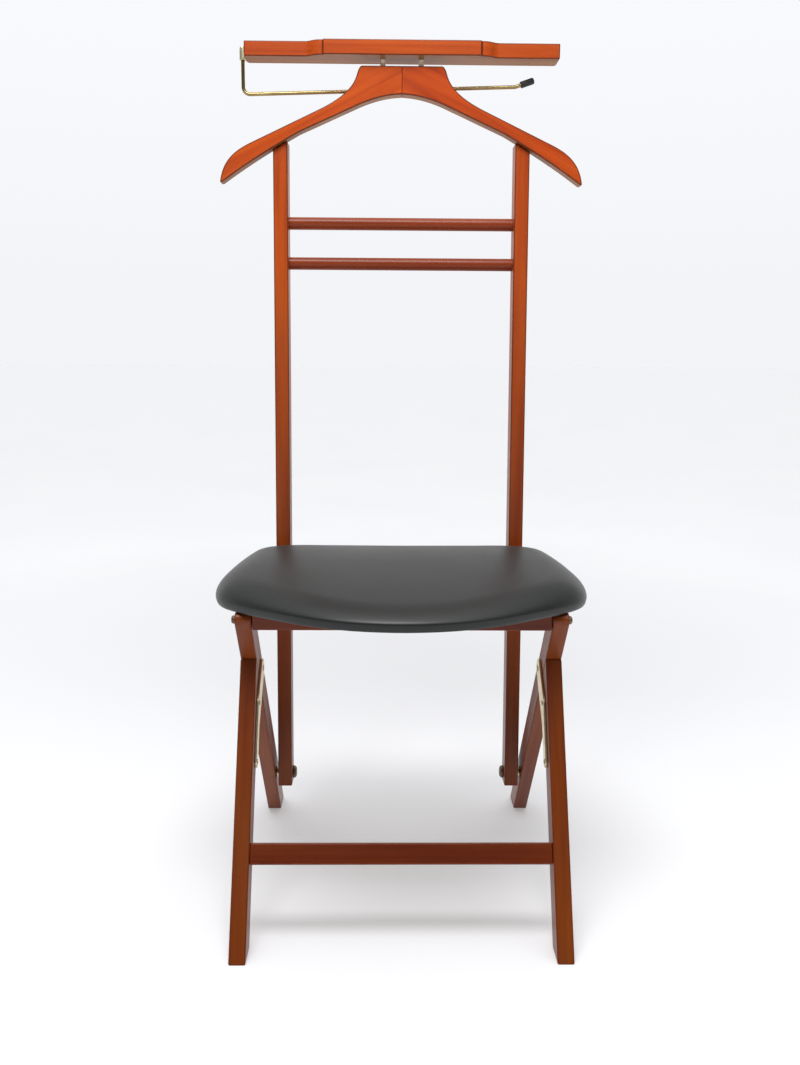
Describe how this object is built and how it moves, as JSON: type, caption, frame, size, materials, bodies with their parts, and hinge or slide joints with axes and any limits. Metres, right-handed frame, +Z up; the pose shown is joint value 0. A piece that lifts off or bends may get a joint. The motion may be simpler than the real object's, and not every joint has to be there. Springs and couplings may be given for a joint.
{
  "type": "valet stand",
  "caption": "Folding valet stand: a padded seat on folding bar legs, and a hinged back with a coat hanger, a tray on top and a swinging trouser rod.",
  "frame": {"origin": "on the floor, at the centre of the footprint of the open stand", "axes": "+Z up, along the stand's height; +X to the right of someone who faces the seat; +Y to the rear, towards the back frame"},
  "size_m": [0.497, 0.46, 1.1084],
  "materials": {
    "stained_beech": "gloss",
    "plywood": "matte",
    "brass": "satin",
    "zinc_steel": "satin",
    "black_vinyl": "satin",
    "black_rubber": "matte"
  },
  "bodies": {
    "base": {"rear_leg_left": "stained_beech", "rear_leg_right": "stained_beech", "seat_pivot_pin_left": "brass", "seat_pivot_pin_right": "brass", "leg_hinge_screw_left": "brass", "leg_hinge_screw_right": "brass", "back_pivot_bolt_left": "brass", "back_pivot_bolt_right": "brass", "back_pivot_spacer_left": "brass", "back_pivot_spacer_right": "brass"},
    "front_legs": {"front_leg_left": "stained_beech", "front_leg_right": "stained_beech", "front_stretcher": "stained_beech", "hinge_plate_left": "brass", "hinge_plate_right": "brass", "leg_rivet_upper_left": "brass", "leg_rivet_upper_right": "brass", "leg_rivet_lower_left": "brass", "leg_rivet_lower_right": "brass"},
    "back": {"upright_left": "stained_beech", "upright_right": "stained_beech", "rung_upper": "stained_beech", "rung_lower": "stained_beech", "back_rail": "stained_beech", "hanger_left": "stained_beech", "hanger_right": "stained_beech", "hanger_dowel_left": "stained_beech", "hanger_dowel_right": "stained_beech", "tray": "stained_beech", "tray_standoff_left": "brass", "tray_standoff_right": "brass", "tray_screw_left": "brass", "tray_screw_right": "brass", "rod_bracket": "brass", "rod_bracket_screw_1": "brass", "rod_bracket_screw_2": "brass"},
    "rod": {"trouser_rod": "brass", "rod_cap": "brass", "rod_tip": "black_rubber"},
    "seat": {"seat_board": "plywood", "seat_cushion": "black_vinyl", "seat_front_rail": "stained_beech", "seat_hook_left": "zinc_steel", "seat_hook_right": "zinc_steel", "rail_screw_left": "zinc_steel", "rail_screw_right": "zinc_steel", "hook_screw_left_1": "zinc_steel", "hook_screw_left_2": "zinc_steel", "hook_screw_right_1": "zinc_steel", "hook_screw_right_2": "zinc_steel"}
  },
  "joints": [
    {"name": "back_fold", "type": "hinge", "parent": "base", "child": "back", "pos_m": [0, 0.136, 0.082], "axis": [1, 0, 0], "range_deg": [0, 35]},
    {"name": "seat_lift", "type": "hinge", "parent": "base", "child": "seat", "pos_m": [0, -0.1145, 0.38], "axis": [1, 0, 0], "range_deg": [0, 129.5]},
    {"name": "front_leg_fold", "type": "hinge", "parent": "base", "child": "front_legs", "pos_m": [0, -0.03449, 0.29491], "axis": [1, 0, 0], "range_deg": [0, 64.5]},
    {"name": "rod_swing", "type": "hinge", "parent": "back", "child": "rod", "pos_m": [-0.2173, 0.185, 1.0945], "axis": [0, 0, 1], "range_deg": [0, 180]}
  ],
  "couplings": [
    {"joint": "seat_lift", "follows": "back_fold", "ratio": 3.7}
  ]
}
